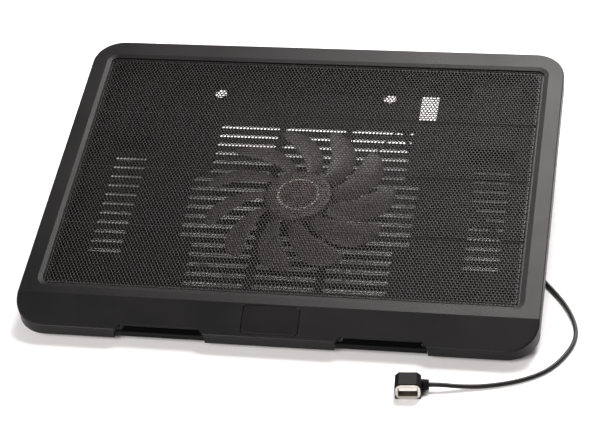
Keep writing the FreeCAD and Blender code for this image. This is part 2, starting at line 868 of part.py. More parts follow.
def make_leg_pin(sign):
    centre = sign * leg_centre
    reach = leg_root_half + pocket_side_gap + pocket_wall - leg_pin_wall - leg_pin_end_gap
    return bar(leg_pin_radius, centre - reach, centre + reach, leg_pin_y, -leg_pin_height)


# ---------------------------------------------------------------- leads
def rounded_route(points):
    """Straight runs joined by tangent arcs, each as large as its two runs allow."""
    edges = []
    radii = []
    here = points[0]
    for before, corner, after in zip(points, points[1:], points[2:]):
        arrive = (corner - before).normalize()
        leave = (after - corner).normalize()
        half_turn = arrive.getAngle(leave) / 2
        cut_back = 0.45 * min((corner - before).Length, (after - corner).Length)
        radius = cut_back / math.tan(half_turn)
        start = corner - arrive * cut_back
        end = corner + leave * cut_back
        inward = (leave - arrive).normalize()
        middle = corner + inward * (radius / math.cos(half_turn) - radius)
        edges.append(Part.LineSegment(here, start).toShape())
        edges.append(Part.Arc(start, middle, end).toShape())
        radii.append(radius)
        here = end
    edges.append(Part.LineSegment(here, points[-1]).toShape())
    return Part.Wire(edges), radii


def swept_tube(points, radius, name):
    path, radii = rounded_route(points)
    along = (points[1] - points[0]).normalize()
    circle = Part.Wire([Part.Circle(points[0], along, radius).toShape()])
    tube_shape = path.makePipeShell([circle], True, True)
    expected = math.pi * radius ** 2 * path.Length
    print(name, "length %.1f" % path.Length, "smallest radius %.1f" % min(radii),
          "volume over expected %.4f" % (tube_shape.Volume / expected))
    print("   radii", " ".join("%.0f" % r for r in radii))
    return tube_shape


def make_fan_lead():
    """Inner lead from the gland, over the floor and round the motor to the circuit board."""
    low = floor_z + lead_radius
    board_bottom = floor_z + motor_plate_thick + board_gap
    angle = math.radians(lead_in_angle)
    near = board_radius - 2.5
    far = motor_plate_radius + 6.0
    gx, gy = gland_centre
    start_z = floor_z + 1.0
    route = [
        vec(gx, gy, start_z),
        vec(gx - 4.0, gy - 5.0, start_z),
        vec(gx - 10.0, gy - 14.0, low),
        *[vec(x, y, low) for x, y in lead_bends],
        vec(far * math.cos(angle) + 4.0, fan_y + far * math.sin(angle) - 4.0, low),
        vec((far - 8) * math.cos(angle), fan_y + (far - 8) * math.sin(angle), low + 0.1),
        vec(near * math.cos(angle), fan_y + near * math.sin(angle), board_bottom - lead_radius),
    ]
    return swept_tube(route, lead_radius, "fan lead")


def make_gland():
    """Moulded bush through the floor, with a tapered sleeve underneath."""
    x, y = gland_centre
    neck = disc(gland_neck, -shell_bottom, floor_z, x, y)
    inside = disc(gland_flange - 1.0, floor_z, floor_z + 1.0 + lead_radius, x, y)
    under = disc(gland_flange, -shell_bottom - gland_flange_thick, -shell_bottom, x, y)
    top = -shell_bottom - gland_flange_thick
    sleeve = Part.makeCone(gland_tip, gland_root, gland_sleeve_length, vec(x, y, top - gland_sleeve_length))
    gland = fuse_all([neck, inside, under, sleeve])
    return gland


# ---------------------------------------------------------------- pass-through plug
def upright_plate(size, y0, y1):
    """Rounded rectangle standing across the plug, centred on the port."""
    width, height, radius = size
    flat = rounded_plate(-width / 2, width / 2, -height / 2, height / 2, radius, 0, y1 - y0)
    flat.rotate(vec(0, 0, 0), vec(1, 0, 0), 90)
    flat.translate(vec(port_centre_x, y1, port_centre_z))
    return flat


def make_plug_pieces():
    outline = [
        (-plug_half, 0), (plug_half, 0), (plug_half, plug_shoulder), (plug_top_half, plug_height),
        (-plug_top_half, plug_height), (-plug_half, plug_shoulder),
    ]
    corners = [vec(x, 0, z) for x, z in outline]
    body = Part.Face(Part.makePolygon(corners + corners[:1])).extrude(vec(0, plug_depth, 0))
    collar = upright_plate(port_frame, -frame_proud, frame_back)
    sleeve = upright_plate(port_sleeve, frame_back, port_depth)
    port_solid = collar.fuse(sleeve)
    body = body.cut(port_solid)
    port = port_solid.cut(upright_plate(port_hole, -frame_proud - 1, port_depth + 1))

    tongue_z = port_centre_z + tongue_above_centre
    tongue = box(port_centre_x - tongue_width / 2, port_centre_x + tongue_width / 2,
                 tongue_setback, port_depth, tongue_z, tongue_z + tongue_thick)
    strips = []
    for i in range(contact_count):
        x = port_centre_x + (i - (contact_count - 1) / 2) * contact_pitch
        strips.append(box(x - contact_width / 2, x + contact_width / 2, tongue_setback + contact_setback,
                          port_depth, tongue_z - contact_thick, tongue_z))

    wide, tall = male_size
    male_y1 = plug_depth + male_length
    outer = box(-wide / 2, wide / 2, plug_depth, male_y1, male_bottom, male_bottom + tall)
    inner = box(-wide / 2 + male_wall, wide / 2 - male_wall, plug_depth - 1, male_y1 + 1,
                male_bottom + male_wall, male_bottom + tall - male_wall)
    male_top = male_bottom + tall - male_wall
    block = box(-wide / 2 + male_wall, wide / 2 - male_wall, plug_depth, male_y1 - male_tongue_setback,
                male_top - male_tongue_thick, male_top)

    boot = Part.makeCone(boot_root, boot_end, boot_length,
                         vec(plug_half, boot_from_front, boot_height), vec(1, 0, 0))
    parts["usb_plug_body"] = at_plug(body)
    parts["usb_port_shell"] = at_plug(port)
    parts["usb_port_tongue"] = at_plug(tongue)
    parts["usb_contacts"] = at_plug(Part.makeCompound(strips))
    parts["usb_male_shell"] = at_plug(outer.cut(inner))
    parts["usb_male_block"] = at_plug(block)
    parts["cord_boot"] = at_plug(boot)


# ---------------------------------------------------------------- the whole pad
def build():
    parts["top_cover"] = make_top_cover()
    parts["front_badge"] = make_badge()
    parts["mesh_panel"] = make_mesh_panel()
    parts["bottom_shell"] = make_bottom_shell()
    parts["case_screws"] = case_screws()
    for name, bars in foot_bars().items():
        parts[name] = Part.makeCompound(bars)
    parts["motor_plate"] = make_motor_plate()
    parts["fan_screws"] = make_fan_screws()
    parts["fan_circuit_board"] = make_board()
    parts["shaft_bush"] = make_bush()
    parts["stator_core"] = make_stator_core()
    parts["stator_coils"] = make_stator_coils()
    parts["fan_rotor"] = make_fan_rotor()
    make_rotor_fittings()
    for side, sign in (("left", -1), ("right", 1)):
        stopper, strip = make_stopper(sign)
        parts["stopper_" + side] = stopper
        parts["stopper_grip_" + side] = strip
        parts["stopper_pin_" + side] = make_stopper_pin(sign)
        leg, cap = make_leg(sign)
        parts["rear_leg_" + side] = leg
        parts["leg_cap_" + side] = cap
        parts["leg_pin_" + side] = make_leg_pin(sign)
    parts["fan_lead"] = make_fan_lead()
    parts["cord_gland"] = make_gland()
    for name in list(parts):
        parts[name] = stand(parts[name])

    make_plug_pieces()
    parts["usb_cord"] = swept_tube([vec(*point) for point in cord_route], cord_radius, "usb cord")


def write():
    os.makedirs("parts", exist_ok=True)
    for name, shape in parts.items():
        solids = len(shape.Solids)
        print("%-20s solids %2d valid %s volume %.1f" % (name, solids, shape.isValid(), shape.Volume))
        shape.exportStep("parts/" + name + ".step")


build()
write()
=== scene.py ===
import json
import math
import bmesh
import bpy
import numpy as np
from mathutils import Matrix, Vector


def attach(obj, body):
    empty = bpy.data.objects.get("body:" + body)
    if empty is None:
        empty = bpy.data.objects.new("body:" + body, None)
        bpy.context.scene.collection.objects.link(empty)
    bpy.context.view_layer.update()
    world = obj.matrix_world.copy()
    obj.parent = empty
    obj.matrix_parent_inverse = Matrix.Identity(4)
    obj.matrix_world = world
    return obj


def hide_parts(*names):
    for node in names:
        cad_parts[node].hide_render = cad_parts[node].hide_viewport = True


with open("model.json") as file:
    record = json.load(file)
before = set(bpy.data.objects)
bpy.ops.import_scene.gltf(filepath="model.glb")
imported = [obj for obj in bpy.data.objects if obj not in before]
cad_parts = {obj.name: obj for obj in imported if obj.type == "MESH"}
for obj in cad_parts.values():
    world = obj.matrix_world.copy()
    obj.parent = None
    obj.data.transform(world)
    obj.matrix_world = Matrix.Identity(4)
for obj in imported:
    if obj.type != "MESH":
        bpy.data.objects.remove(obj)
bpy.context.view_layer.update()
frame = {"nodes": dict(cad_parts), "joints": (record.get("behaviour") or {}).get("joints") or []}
print("frame loaded")

# The pad leans back on its legs. The fan's axle gives the direction that is square to its top,
# and a point on it, so shapes can be drawn on the flat pad: x right, y to the rear, z out of the
# rim, with the origin in the middle of the rear edge. Lengths there are in millimetres.
fanJoint = next(joint for joint in frame["joints"] if joint["name"] == "fan_spin")
fanSize = {"fromRear": 147.3, "pointBelowRim": 10.0}
padUp = np.array(fanJoint["axis"], float)
padUp /= np.linalg.norm(padUp)
padRight = np.array([1.0, 0.0, 0.0])
padBack = np.cross(padUp, padRight)
padAxes = np.array([padRight, padBack, padUp])
padOrigin = np.array(fanJoint["pos_m"]) - 0.001 * np.array(
    [0.0, -fanSize["fromRear"], -fanSize["pointBelowRim"]]) @ padAxes


def padToRow(points):
    # millimetres on the flat pad to metres where it stands
    return padOrigin + 0.001 * np.asarray(points, float) @ padAxes


# ---- camera, floor and lights

camera = {"place": (0.2565, -1.1321, 0.8347), "right": (0.9822, 0.1743, -0.0692),
          "back": (0.1818, -0.7949, 0.5790), "lens": 117.7, "sensor": 36.0, "near": 0.05, "far": 50.0}


def placeCamera(values):
    lens = bpy.data.cameras.new("camera")
    lens.lens = values["lens"]
    lens.sensor_width = values["sensor"]
    lens.clip_start, lens.clip_end = values["near"], values["far"]
    view = bpy.data.objects.new("camera", lens)
    back = Vector(values["back"]).normalized()
    right = Vector(values["right"])
    right = (right - back * right.dot(back)).normalized()
    up = back.cross(right)
    turn = Matrix((right, up, back)).transposed().to_4x4()
    view.matrix_world = Matrix.Translation(values["place"]) @ turn
    bpy.context.collection.objects.link(view)
    bpy.context.scene.camera = view
    return view


placeCamera(camera)

studio = {"floorHalf": 6.0, "surround": 0.1, "tint": (1.0, 0.96, 0.95),
          "lamps": [("overhead", (0.32, 0.9, 1.5), (0.05, 0.0, 0.0), (0.9, 0.8), 48.0),
                    ("rearPanel", (0.5, 1.9, 0.5), (0.0, 0.0, 0.05), (3.2, 0.8), 26.0),
                    ("fill", (-0.9, -1.8, 1.5), (-0.05, -0.1, 0.0), (1.5, 1.2), 60.0)]}


def linear(hexColour, alpha=1.0):
    # sRGB hex to linear light
    parts = [int(hexColour[i:i + 2], 16) / 255 for i in (1, 3, 5)]
    parts = [v / 12.92 if v <= 0.04045 else ((v + 0.055) / 1.055) ** 2.4 for v in parts]
    return (*parts, alpha)


def addNode(tree, kind, inputs=None, **settings):
    # a node with its settings, its input values, and links from (node, socket name)
    made = tree.nodes.new(kind)
    for key, value in settings.items():
        setattr(made, key, value)
    for key, value in (inputs or {}).items():
        if isinstance(value, tuple) and isinstance(value[0], bpy.types.Node):
            tree.links.new(value[0].outputs[value[1]], made.inputs[key])
        else:
            made.inputs[key].default_value = value
    return made


def startMaterial(name, shader):
    material = bpy.data.materials.new(name)
    material.use_nodes = True
    tree = material.node_tree
    tree.nodes.clear()
    surface = addNode(tree, "ShaderNodeBsdfPrincipled", shader)
    out = addNode(tree, "ShaderNodeOutputMaterial", {"Surface": (surface, "BSDF")})
    place = addNode(tree, "ShaderNodeTexCoord")
    return material, tree, surface, place


def wire(tree, source, socket, target, name):
    tree.links.new(source.outputs[socket], target.inputs[name])


def ramp(tree, source, socket, stops):
    made = addNode(tree, "ShaderNodeValToRGB", {"Fac": (source, socket)})
    elements = made.color_ramp.elements
    for i, (at, colour) in enumerate(stops):
        element = elements[i] if i < 2 else elements.new(at)
        element.position = at
        element.color = colour
    return made


def grey(value):
    return (value, value, value, 1.0)


def mouldedPlastic(name, values):
    # moulded plastic: a spark-eroded grain in the skin, faint flow clouds in colour and gloss,
    # so highlights are broad, soft and a little uneven
    material, tree, surface, place = startMaterial(
        name, {"IOR": values.get("ior", 1.54), "Specular IOR Level": values.get("specular", 0.5)})
    point = (place, "Object")
    clouds = addNode(tree, "ShaderNodeTexNoise", {"Vector": point, "Scale": 1000.0 / values["cloudMm"],
                                                  "Detail": 4.0, "Roughness": 0.55})
    grain = addNode(tree, "ShaderNodeTexNoise", {"Vector": point, "Scale": 1000.0 / values["grainMm"],
                                                 "Detail": 3.0, "Roughness": 0.65})
    specks = addNode(tree, "ShaderNodeTexVoronoi", {"Vector": point, "Scale": 1000.0 / values["grainMm"]})
    base = ramp(tree, clouds, "Fac", [(0.3, linear(values["dark"])), (0.7, linear(values["light"]))])
    tint = ramp(tree, grain, "Fac", [(0.35, grey(0.82)), (0.65, grey(1.12))])
    colour = addNode(tree, "ShaderNodeMix", {"Factor": 1.0, "A": (base, "Color"), "B": (tint, "Color")},
                     data_type="RGBA", blend_type="MULTIPLY")
    tree.links.new(colour.outputs["Result"], surface.inputs["Base Color"])
    low, high = values["rough"]
    gloss = addNode(tree, "ShaderNodeMapRange", {"Value": (clouds, "Fac"), "From Min": 0.3, "From Max": 0.7,
                                                 "To Min": low, "To Max": high})
    wire(tree, gloss, "Result", surface, "Roughness")
    height = addNode(tree, "ShaderNodeMath", {0: (grain, "Fac"), 1: (specks, "Distance")}, operation="ADD")
    bump = addNode(tree, "ShaderNodeBump", {"Height": (height, "Value"), "Strength": values["grainStrength"],
                                            "Distance": values["grainMm"] * 0.0002})
    wire(tree, bump, "Normal", surface, "Normal")
    return material


def spreadFaces(rows, columns, closeRows, closeColumns):
    # quads of a grid of rows x columns points, as rows of four indices
    i = np.arange(rows if closeRows else rows - 1)
    j = np.arange(columns if closeColumns else columns - 1)
    i, j = np.meshgrid(i, j, indexing="ij")
    i2, j2 = (i + 1) % rows, (j + 1) % columns
    corners = [i * columns + j, i * columns + j2, i2 * columns + j2, i2 * columns + j]
    return np.stack(corners, -1).reshape(-1, 4)


def meshObject(name, points, faceSets, material, smoothAngle=None):
    # faceSets are arrays of triangles, quads or longer rings, all of one size in each array
    mesh = bpy.data.meshes.new(name)
    points = np.asarray(points, np.float32).reshape(-1, 3)
    flat = [np.asarray(faces, np.int32) for faces in faceSets if len(faces)]
    corners = np.concatenate([faces.ravel() for faces in flat])
    sizes = np.concatenate([np.full(len(faces), faces.shape[1], np.int32) for faces in flat])
    starts = np.concatenate([[0], np.cumsum(sizes)[:-1]]).astype(np.int32)
    mesh.vertices.add(len(points))
    mesh.vertices.foreach_set("co", points.ravel())
    mesh.loops.add(len(corners))
    mesh.loops.foreach_set("vertex_index", corners)
    mesh.polygons.add(len(sizes))
    mesh.polygons.foreach_set("loop_start", starts)
    mesh.update(calc_edges=True)
    mesh.validate()
    piece = bpy.data.objects.new(name, mesh)
    bpy.context.collection.objects.link(piece)
    mesh.materials.append(material)
    if smoothAngle is not None:
        mesh.shade_smooth()
        mesh.set_sharp_from_angle(angle=math.radians(smoothAngle))
    return piece


def weld(piece, distance=1e-6, outward=True):
    shape = bmesh.new()
    shape.from_mesh(piece.data)
    bmesh.ops.remove_doubles(shape, verts=shape.verts, dist=distance)
    bmesh.ops.dissolve_degenerate(shape, edges=shape.edges, dist=distance)
    if outward:
        bmesh.ops.recalc_face_normals(shape, faces=shape.faces)
    shape.to_mesh(piece.data)
    shape.free()


def settle(piece, body, slot, *nodes):
    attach(piece, body)
    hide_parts(*nodes)
    return piece


def revolved(name, profile, centre, material, steps=96, smoothAngle=40):
    # surface of revolution: each (r, z) of a closed profile turned about the fan's axle
    profile = np.array(profile, float)
    turn = np.linspace(0, 2 * math.pi, steps, endpoint=False)
    x = profile[:, 0][:, None] * np.cos(turn)
    y = profile[:, 0][:, None] * np.sin(turn)
    z = np.repeat(profile[:, 1][:, None], steps, 1)
    points = np.stack([x + centre[0], y + centre[1], z], -1)
    quads = spreadFaces(len(profile), steps, True, True)
    piece = meshObject(name, padToRow(points.reshape(-1, 3)), [quads], material)
    weld(piece)
    piece.data.shade_smooth()
    piece.data.set_sharp_from_angle(angle=math.radians(smoothAngle))
    return piece


def roundedCorner(x, z, radius, fromAngle, toAngle, steps=5):
    # points of an arc, for the rounded corner of a profile
    angles = np.radians(np.linspace(fromAngle, toAngle, steps))
    return [(x + radius * math.cos(a), z + radius * math.sin(a)) for a in angles]


floorMaterial, tree, surface, place = startMaterial("paintedStudioFloor", {"Roughness": 0.7})
paint = addNode(tree, "ShaderNodeTexNoise", {"Vector": (place, "Object"), "Scale": 3.0, "Detail": 2.0})
paintColour = ramp(tree, paint, "Fac", [(0.2, linear("#f6f6f6")), (0.8, linear("#fafafa"))])
wire(tree, paintColour, "Color", surface, "Base Color")
half = studio["floorHalf"]
floor = meshObject("studioFloor", [(-half, -half, 0), (half, -half, 0), (half, half, 0), (-half, half, 0)],
                   [[[0, 1, 2, 3]]], floorMaterial)

for lampName, at, towards, size, power in studio["lamps"]:
    lampData = bpy.data.lights.new(lampName, "AREA")
    lampData.shape = "RECTANGLE"
    lampData.size, lampData.size_y = size
    lampData.energy = power
    lampData.color = studio["tint"]
    lamp = bpy.data.objects.new(lampName, lampData)
    lamp.location = at
    lamp.rotation_euler = (Vector(towards) - Vector(at)).to_track_quat("-Z", "Y").to_euler()
    bpy.context.collection.objects.link(lamp)

sky = bpy.data.worlds.new("studio")
sky.use_nodes = True
sky.node_tree.nodes["Background"].inputs["Color"].default_value = (1.0, 1.0, 1.0, 1.0)
sky.node_tree.nodes["Background"].inputs["Strength"].default_value = studio["surround"]
bpy.context.scene.world = sky
bpy.context.scene.view_settings.view_transform = "Standard"
print("studio ready")

# ---- USB lead: one smooth line from the gland under the case to the plug's boot

cordSize = {"radius": 0.0015, "length": 0.3787,
            "route": [(66.0, 80.0, 33.5), (66.0, 82.1, 23.7), (70.5, 83.4, 14.9), (77.5, 81.5, 7.8),
                      (88.0, 75.5, 3.6), (103.0, 60.0, 1.7), (120.0, 37.0, 1.5), (139.0, 10.5, 1.5),
                      (158.0, -16.5, 1.5), (177.0, -44.0, 1.5), (192.0, -66.0, 1.5),
                      (201.0, -87.0, 1.5), (203.5, -105.0, 1.5), (197.5, -124.0, 1.5),
                      (186.5, -141.5, 1.5), (169.0, -153.0, 1.5), (148.0, -160.0, 1.5),
                      (131.0, -162.8, 2.5), (119.5, -164.5, 4.6), (111.8, -165.2, 4.6)]}

pvcJacket = mouldedPlastic("extrudedPvcJacket", {
    "dark": "#080808", "light": "#0e0d0d", "cloudMm": 9.0, "grainMm": 0.5, "grainStrength": 0.15,
    "rough": (0.36, 0.46), "specular": 0.3})


def makeCord(values):
    line = bpy.data.curves.new("usbLead", "CURVE")
    line.dimensions = "3D"
    spline = line.splines.new("NURBS")
    route = np.array(values["route"]) * 0.001
    spline.points.add(len(route) - 1)
    spline.points.foreach_set("co", np.column_stack([route, np.ones(len(route))]).ravel())
    spline.order_u = 3
    spline.use_endpoint_u = True
    spline.resolution_u = 12
    line.bevel_depth = values["radius"]
    line.bevel_resolution = 6
    line.use_fill_caps = True
    line.materials.append(pvcJacket)
    piece = bpy.data.objects.new("usbLead", line)
    bpy.context.collection.objects.link(piece)
    return piece


usbLead = makeCord(cordSize)
print("lead laid")

# ---- moulded case

caseAbs = mouldedPlastic("mouldedAbsCover", {
    "dark": "#0d0d0d", "light": "#121111", "cloudMm": 60.0, "grainMm": 0.7, "grainStrength": 0.25,
    "rough": (0.4, 0.48), "specular": 0.2})
trayAbs = mouldedPlastic("mouldedAbsTray", {
    "dark": "#080808", "light": "#0c0c0c", "cloudMm": 45.0, "grainMm": 0.6, "grainStrength": 0.25,
    "rough": (0.5, 0.6), "specular": 0.09})
badgeAbs = mouldedPlastic("satinAbsBadge", {
    "dark": "#121111", "light": "#161515", "cloudMm": 25.0, "grainMm": 0.25, "grainStrength": 0.1,
    "rough": (0.34, 0.4), "specular": 0.2})
motorAbs = mouldedPlastic("mouldedPbtMount", {
    "dark": "#151515", "light": "#1c1c1c", "cloudMm": 20.0, "grainMm": 0.5, "grainStrength": 0.2,
    "rough": (0.5, 0.6)})
fanPbt = mouldedPlastic("mouldedPbtBlades", {
    "dark": "#4e4a47", "light": "#5c5753", "cloudMm": 18.0, "grainMm": 0.4, "grainStrength": 0.15,
    "rough": (0.38, 0.48)})
softRubber = mouldedPlastic("mouldedRubber", {
    "dark": "#0e0e0e", "light": "#141313", "cloudMm": 8.0, "grainMm": 0.6, "grainStrength": 0.5,
    "rough": (0.72, 0.85), "ior": 1.5, "specular": 0.35})
plugPvc = mouldedPlastic("mouldedPvcPlug", {
    "dark": "#070707", "light": "#0c0b0b", "cloudMm": 6.0, "grainMm": 0.35, "grainStrength": 0.3,
    "rough": (0.42, 0.52), "specular": 0.1})
blockNylon = mouldedPlastic("whiteNylonInsert", {
    "dark": "#dcd9d2", "light": "#e8e6e0", "cloudMm": 4.0, "grainMm": 0.3, "grainStrength": 0.1,
    "rough": (0.4, 0.5)})
ringPbt = mouldedPlastic("creamPbtRing", {
    "dark": "#a9a397", "light": "#bab4a8", "cloudMm": 7.0, "grainMm": 0.3, "grainStrength": 0.15,
    "rough": (0.35, 0.45)})
ferriteCeramic = mouldedPlastic("sinteredFerrite", {
    "dark": "#2a2a2c", "light": "#363638", "cloudMm": 3.0, "grainMm": 0.2, "grainStrength": 0.4,
    "rough": (0.55, 0.7)})
boardFr4 = mouldedPlastic("solderMaskBoard", {
    "dark": "#0f3a20", "light": "#15502c", "cloudMm": 5.0, "grainMm": 0.4, "grainStrength": 0.2,
    "rough": (0.3, 0.4)})


def metal(name, values):
    # bare or plated metal: fine lines or grain from rolling and grinding, seen as streaks in the gloss
    material, tree, surface, place = startMaterial(name, {"Metallic": 1.0})
    stretch = addNode(tree, "ShaderNodeMapping", {"Vector": (place, "Object"),
                                                  "Scale": values.get("stretch", (1.0, 1.0, 1.0))})
    grain = addNode(tree, "ShaderNodeTexNoise", {"Vector": (stretch, "Vector"),
                                                 "Scale": 1000.0 / values["grainMm"], "Detail": 4.0})
    colour = ramp(tree, grain, "Fac", [(0.3, linear(values["dark"])), (0.7, linear(values["light"]))])
    wire(tree, colour, "Color", surface, "Base Color")
    low, high = values["rough"]
    gloss = addNode(tree, "ShaderNodeMapRange", {"Value": (grain, "Fac"), "From Min": 0.3, "From Max": 0.7,
                                                 "To Min": low, "To Max": high})
    wire(tree, gloss, "Result", surface, "Roughness")
    bump = addNode(tree, "ShaderNodeBump", {"Height": (grain, "Fac"), "Strength": values["grainStrength"],
                                            "Distance": values["grainMm"] * 0.0001})
    wire(tree, bump, "Normal", surface, "Normal")
    return material


groundSteel = metal("groundSteelPin", {"dark": "#a8a8aa", "light": "#c6c6c8", "grainMm": 0.6,
                                       "rough": (0.25, 0.38), "grainStrength": 0.2,
                                       "stretch": (8.0, 1.0, 1.0)})
blackScrew = metal("blackOxideSteel", {"dark": "#2e2e30", "light": "#3d3d40", "grainMm": 0.5,
                                       "rough": (0.38, 0.5), "grainStrength": 0.2})
nickelSteel = metal("nickelPlatedShell", {"dark": "#b9b4ac", "light": "#d2cec7", "grainMm": 0.8,
                                          "rough": (0.28, 0.4), "grainStrength": 0.15,
                                          "stretch": (1.0, 1.0, 6.0)})
goldContact = metal("goldPlatedContact", {"dark": "#c79a4a", "light": "#dfb968", "grainMm": 0.4,
                                          "rough": (0.25, 0.35), "grainStrength": 0.1})
sinteredBrass = metal("sinteredBronzeBush", {"dark": "#8f6a35", "light": "#b58a4d", "grainMm": 0.3,
                                             "rough": (0.4, 0.55), "grainStrength": 0.4})
laminations = metal("siliconSteelStack", {"dark": "#6c6c70", "light": "#8b8b90", "grainMm": 0.5,
                                          "rough": (0.4, 0.5), "grainStrength": 0.4,
                                          "stretch": (1.0, 1.0, 10.0)})
copperWinding = metal("enamelledCopperWire", {"dark": "#8a3f1d", "light": "#b8622f", "grainMm": 0.35,
                                              "rough": (0.22, 0.32), "grainStrength": 0.6,
                                              "stretch": (1.0, 1.0, 5.0)})


def dress(material, *names):
    # a CAD node keeps its shape and takes a finished material
    for name in names:
        piece = frame["nodes"][name]
        for index in range(len(piece.data.materials)):
            piece.data.materials[index] = material


dress(caseAbs, "top_cover")
dress(trayAbs, "bottom_shell")
dress(blackScrew, "case_screws", "fan_screws")
dress(softRubber, "front_feet", "rear_pads", "cord_gland")
dress(motorAbs, "motor_plate")
dress(groundSteel, "fan_shaft", "stopper_pin_left", "stopper_pin_right", "leg_pin_left", "leg_pin_right")
dress(boardFr4, "fan_circuit_board")
dress(sinteredBrass, "shaft_bush")
dress(laminations, "stator_core", "rotor_yoke")
dress(copperWinding, "stator_coils")
dress(ferriteCeramic, "rotor_magnet")
dress(pvcJacket, "fan_lead")
dress(blockNylon, "usb_port_tongue", "usb_male_block")
dress(goldContact, "usb_contacts")


def softened(name, nodeName, width, material, segments=3, angle=35):
    # the CAD solid's own shape, with its hard edges rounded as a mould leaves them
    mesh = frame["nodes"][nodeName].data.copy()
    mesh.name = name
    piece = bpy.data.objects.new(name, mesh)
    bpy.context.collection.objects.link(piece)
    shape = bmesh.new()
    shape.from_mesh(mesh)
    bmesh.ops.remove_doubles(shape, verts=shape.verts, dist=2e-6)
    bmesh.ops.dissolve_limit(shape, angle_limit=math.radians(2), verts=shape.verts, edges=shape.edges)
    shape.to_mesh(mesh)
    shape.free()
    if mesh.has_custom_normals:
        mesh.attributes.remove(mesh.attributes["custom_normal"])
    mesh.shade_smooth()
    mesh.set_sharp_from_angle(angle=math.radians(angle))
    mesh.materials.clear()
    mesh.materials.append(material)
    bevel = piece.modifiers.new("mouldRadius", "BEVEL")
    bevel.limit_method = "ANGLE"
    bevel.angle_limit = math.radians(angle)
    bevel.width = width
    bevel.segments = segments
    bevel.harden_normals = True
    return piece


edges = {"badge": 0.0004, "leg": 0.0005, "cap": 0.0006, "stopper": 0.0003, "grip": 0.0002,
         "plug": 0.0006, "plugShell": 0.0001}
badge = softened("badgePlate", "front_badge", edges["badge"], badgeAbs)
settle(badge, "base", "badge_plastic", "front_badge")
for side in ("left", "right"):
    title = side.capitalize()
    leg = softened("rearLeg" + title, "rear_leg_" + side, edges["leg"], trayAbs)
    settle(leg, side + "_leg", "leg_plastic", "rear_leg_" + side)
    cap = softened("legCap" + title, "leg_cap_" + side, edges["cap"], softRubber)
    settle(cap, side + "_leg", "foot_rubber", "leg_cap_" + side)
    tongue = softened("stopperTongue" + title, "stopper_" + side, edges["stopper"], trayAbs)
    settle(tongue, side + "_stopper", "stopper_plastic", "stopper_" + side)
    grip = softened("stopperGrip" + title, "stopper_grip_" + side, edges["grip"], softRubber)
    settle(grip, side + "_stopper", "foot_rubber", "stopper_grip_" + side)
plugBody = softened("plugBody", "usb_plug_body", edges["plug"], plugPvc)
settle(plugBody, "base", "plug_plastic", "usb_plug_body")
dress(nickelSteel, "usb_port_shell")
maleShell = softened("plugShell", "usb_male_shell", edges["plugShell"], nickelSteel, 2)
settle(maleShell, "base", "usb_metal", "usb_male_shell")
print("case dressed")

# ---- perforated steel panel: staggered punched holes, cut from sheet and powder coated

panel = {"halfWidth": 164.4, "rear": -18.4, "front": -244.4, "cornerRadius": 1.8,
         "top": -1.3, "thickness": 0.4, "pitch": 2.6, "rowPitch": 2.25, "holeRadius": 1.0,
         "columns": 126, "rows": 100, "strips": 4, "cornerSteps": 9, "sideSteps": 24, "endSteps": 36}

powderSteel = mouldedPlastic("powderCoatedSteel", {
    "dark": "#080706", "light": "#0d0b09", "cloudMm": 30.0, "grainMm": 0.5, "grainStrength": 0.3,
    "rough": (0.34, 0.42), "specular": 0.2})


